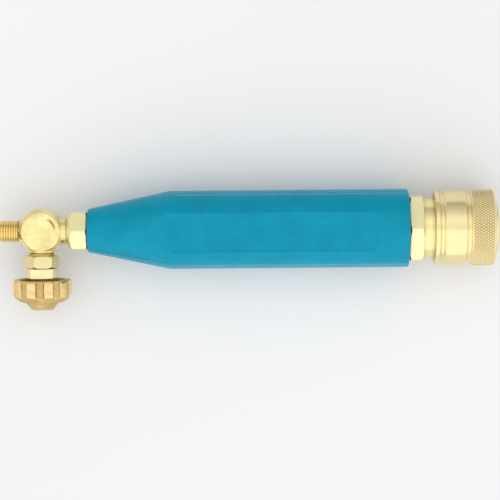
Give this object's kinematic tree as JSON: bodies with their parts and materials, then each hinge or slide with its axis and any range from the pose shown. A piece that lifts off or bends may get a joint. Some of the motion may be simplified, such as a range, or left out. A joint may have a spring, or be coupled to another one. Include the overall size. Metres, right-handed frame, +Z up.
{
  "type": "propane torch handle",
  "caption": "Hand-held gas torch handle: needle valve with fluted brass hand wheel, hose inlet, teal moulded grip, and a knurled quick-connect socket for a burner tip.",
  "frame": {"origin": "centre of the quick-connect socket's mouth, on the torch's axis", "axes": "+X along the torch's axis, out of the socket; -Y out along the valve stem to the hand wheel; +Z up with the torch lying on its side"},
  "size_m": [0.2106, 0.0506, 0.0332],
  "materials": {
    "forged_brass": "forged, fine-grained satin",
    "turned_brass": "turned and bright",
    "cast_brass": "cast, slightly rough",
    "teal_plastic": "moulded satin",
    "black_rubber": "moulded matt",
    "steel": "bright",
    "copper": "annealed copper",
    "ptfe": "waxy white",
    "fibre": "pressed fibre"
  },
  "bodies": {
    "torch": {"valve_body": "forged_brass", "bonnet": "turned_brass", "bonnet_gasket": "copper", "stem_packing": "ptfe", "gland_washer": "turned_brass", "packing_nut": "turned_brass", "tube_fitting": "turned_brass", "gas_tube": "turned_brass", "handle_grip": "teal_plastic", "fibre_washer": "fibre", "grip_cushion": "black_rubber", "socket_adapter": "turned_brass", "adapter_seal": "black_rubber", "socket_barrel": "turned_brass", "retaining_ring": "steel", "tip_seal": "black_rubber", "sleeve_spring": "steel", "poppet_spring": "steel"},
    "needle": {"valve_needle": "steel"},
    "stem": {"valve_stem": "turned_brass", "knob": "cast_brass"},
    "sleeve": {"coupling_sleeve": "turned_brass"},
    "poppet": {"poppet": "turned_brass", "poppet_seal": "black_rubber"},
    "lock_ball_1": {"lock_ball_1": "steel"},
    "lock_ball_2": {"lock_ball_2": "steel"},
    "lock_ball_3": {"lock_ball_3": "steel"},
    "lock_ball_4": {"lock_ball_4": "steel"},
    "lock_ball_5": {"lock_ball_5": "steel"},
    "lock_ball_6": {"lock_ball_6": "steel"}
  },
  "joints": [
    {"name": "valve_travel", "type": "slide", "parent": "torch", "child": "needle", "axis": [0, -1, 0], "range_m": [0, 0.0025]},
    {"name": "knob_turn", "type": "hinge", "parent": "needle", "child": "stem", "pos_m": [-0.19315, 0, 0], "axis": [0, -1, 0], "range_deg": [0, 900]},
    {"name": "sleeve_slide", "type": "slide", "parent": "torch", "child": "sleeve", "axis": [-1, 0, 0], "range_m": [0, 0.004], "stiffness_N_per_m": 350, "springref_m": -0.015, "deforming": ["sleeve_spring"]},
    {"name": "poppet_slide", "type": "slide", "parent": "torch", "child": "poppet", "axis": [-1, 0, 0], "range_m": [0, 0.0028], "stiffness_N_per_m": 2900, "springref_m": -0.002, "deforming": ["poppet_spring"]},
    {"name": "lock_ball_1_out", "type": "slide", "parent": "torch", "child": "lock_ball_1", "axis": [0, 0, 1], "range_m": [0, 0.00076]},
    {"name": "lock_ball_2_out", "type": "slide", "parent": "torch", "child": "lock_ball_2", "axis": [0, -0.866, 0.5], "range_m": [0, 0.00076]},
    {"name": "lock_ball_3_out", "type": "slide", "parent": "torch", "child": "lock_ball_3", "axis": [0, -0.866, -0.5], "range_m": [0, 0.00076]},
    {"name": "lock_ball_4_out", "type": "slide", "parent": "torch", "child": "lock_ball_4", "axis": [0, 0, -1], "range_m": [0, 0.00076]},
    {"name": "lock_ball_5_out", "type": "slide", "parent": "torch", "child": "lock_ball_5", "axis": [0, 0.866, -0.5], "range_m": [0, 0.00076]},
    {"name": "lock_ball_6_out", "type": "slide", "parent": "torch", "child": "lock_ball_6", "axis": [0, 0.866, 0.5], "range_m": [0, 0.00076]}
  ],
  "couplings": [
    {"joint": "knob_turn", "follows": "valve_travel", "rad_per_m": 6283.2},
    {"joint": "lock_ball_1_out", "follows": "sleeve_slide", "ratio": 0.1875},
    {"joint": "lock_ball_2_out", "follows": "sleeve_slide", "ratio": 0.1875},
    {"joint": "lock_ball_3_out", "follows": "sleeve_slide", "ratio": 0.1875},
    {"joint": "lock_ball_4_out", "follows": "sleeve_slide", "ratio": 0.1875},
    {"joint": "lock_ball_5_out", "follows": "sleeve_slide", "ratio": 0.1875},
    {"joint": "lock_ball_6_out", "follows": "sleeve_slide", "ratio": 0.1875}
  ]
}
